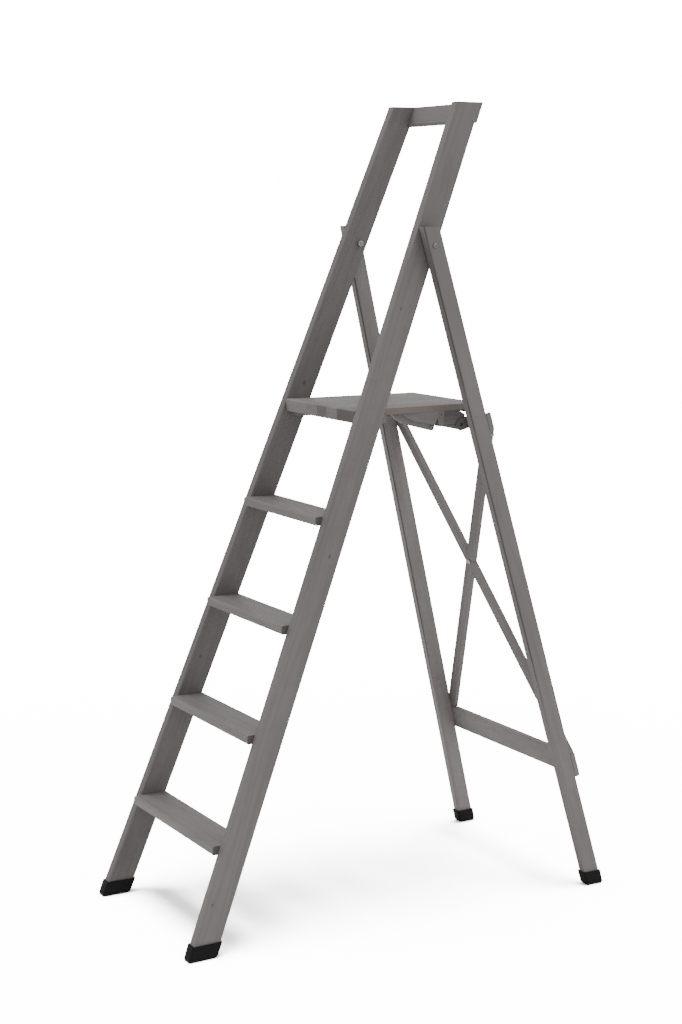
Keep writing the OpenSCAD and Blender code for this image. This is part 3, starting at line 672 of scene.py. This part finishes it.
studio = {"floorHalf": 40.0, "floorTone": 0.17, "floorSeen": 2.0, "roomLight": 0.82, "roomSeen": 16.0,
          "fadeFrom": 0.9, "fadeTo": 2.6,
          "floorSunFrom": (0.15, 0.0, 4.0), "floorSunPower": 20.0, "floorSunSpread": 26.0,
          "camera": (3.840, -2.235, 1.625), "pitchDown": 9.03, "azimuth": 60.03,
          "fieldOfView": 30.0, "sensor": 24.0}
# Each softbox: where it hangs, what it points at, its width and its power.
softboxes = {"keySoftbox": ((-1.6, -1.6, 4.8), (0, 0, 0.4), 1.6, 60.0),
             "topSoftbox": ((1.6, 1.6, 4.6), (0, 0, 0.6), 3.0, 60.0)}


def makeFloor():
    half = studio["floorHalf"]
    mesh = bpy.data.meshes.new("studioFloor")
    mesh.from_pydata([(-half, -half, 0), (half, -half, 0), (half, half, 0), (-half, half, 0)], [],
                     [(0, 1, 2, 3)])
    floor = bpy.data.objects.new("studioFloor", mesh)
    bpy.context.scene.collection.objects.link(floor)
    material, w, _ = newMaterial("paleFloor", 0.8, specular=0.0)
    # The sheet is lit past white, yet still takes shadows.
    diffuse = w.add("BsdfDiffuse")
    path = w.add("LightPath")
    seen = w.blend(path.outputs["Is Camera Ray"], (*(studio["floorTone"],) * 3, 1),
                   (*(studio["floorSeen"],) * 3, 1))
    w.join(seen, diffuse.inputs["Color"])
    # It fades out into the white room well beyond the ladder, so no horizon shows.
    coordinates = w.add("TexCoord")
    reach = w.add("VectorMath", operation="LENGTH")
    w.join(coordinates.outputs["Object"], reach.inputs[0])
    fade = w.add("MixShader")
    clear = w.add("BsdfTransparent")
    w.join(w.span(reach.outputs["Value"], studio["fadeFrom"], studio["fadeTo"]), fade.inputs[0])
    w.join(diffuse.outputs[0], fade.inputs[1])
    w.join(clear.outputs[0], fade.inputs[2])
    w.join(fade.outputs[0], w.tree.nodes["Material Output"].inputs["Surface"])
    mesh.materials.append(material)
    return floor


def makeFloorSun(floor):
    # A wide sun that lights the floor alone, so the feet throw soft shadows on it.
    lamp = bpy.data.lights.new("floorSun", "SUN")
    lamp.energy, lamp.angle = studio["floorSunPower"], math.radians(studio["floorSunSpread"])
    thing = bpy.data.objects.new("floorSun", lamp)
    bpy.context.scene.collection.objects.link(thing)
    thing.rotation_euler = Vector(studio["floorSunFrom"]).to_track_quat("Z", "Y").to_euler()
    onlyFloor = bpy.data.collections.new("onlyFloor")
    onlyFloor.objects.link(floor)
    thing.light_linking.receiver_collection = onlyFloor


def makeLights():
    world = bpy.data.worlds.new("studioWorld")
    bpy.context.scene.world = world
    world.use_nodes = True
    background = world.node_tree.nodes["Background"]
    background.inputs["Color"].default_value = (1.0, 1.0, 1.0, 1)
    w = Wiring(world.node_tree)
    path = w.add("LightPath")
    w.join(w.span(path.outputs["Is Camera Ray"], 0.0, 1.0, studio["roomLight"], studio["roomSeen"]),
           background.inputs["Strength"])
    for name, (spot, aim, size, power) in softboxes.items():
        lamp = bpy.data.lights.new(name, "AREA")
        lamp.shape, lamp.size, lamp.energy = "DISK", size, power
        thing = bpy.data.objects.new(name, lamp)
        bpy.context.scene.collection.objects.link(thing)
        thing.location = spot
        thing.rotation_euler = (Vector(spot) - Vector(aim)).to_track_quat("Z", "Y").to_euler()


def makeCamera():
    camera = bpy.data.cameras.new("studioCamera")
    camera.sensor_fit = "VERTICAL"
    camera.sensor_height = studio["sensor"]
    camera.lens = studio["sensor"] / 2 / math.tan(math.radians(studio["fieldOfView"] / 2))
    thing = bpy.data.objects.new("studioCamera", camera)
    bpy.context.scene.collection.objects.link(thing)
    thing.location = studio["camera"]
    thing.rotation_euler = (math.radians(90 - studio["pitchDown"]), 0, math.radians(studio["azimuth"]))
    bpy.context.scene.camera = thing


makeFloorSun(makeFloor())
makeLights()
makeCamera()
print("step ladder: floor, lights and camera set")
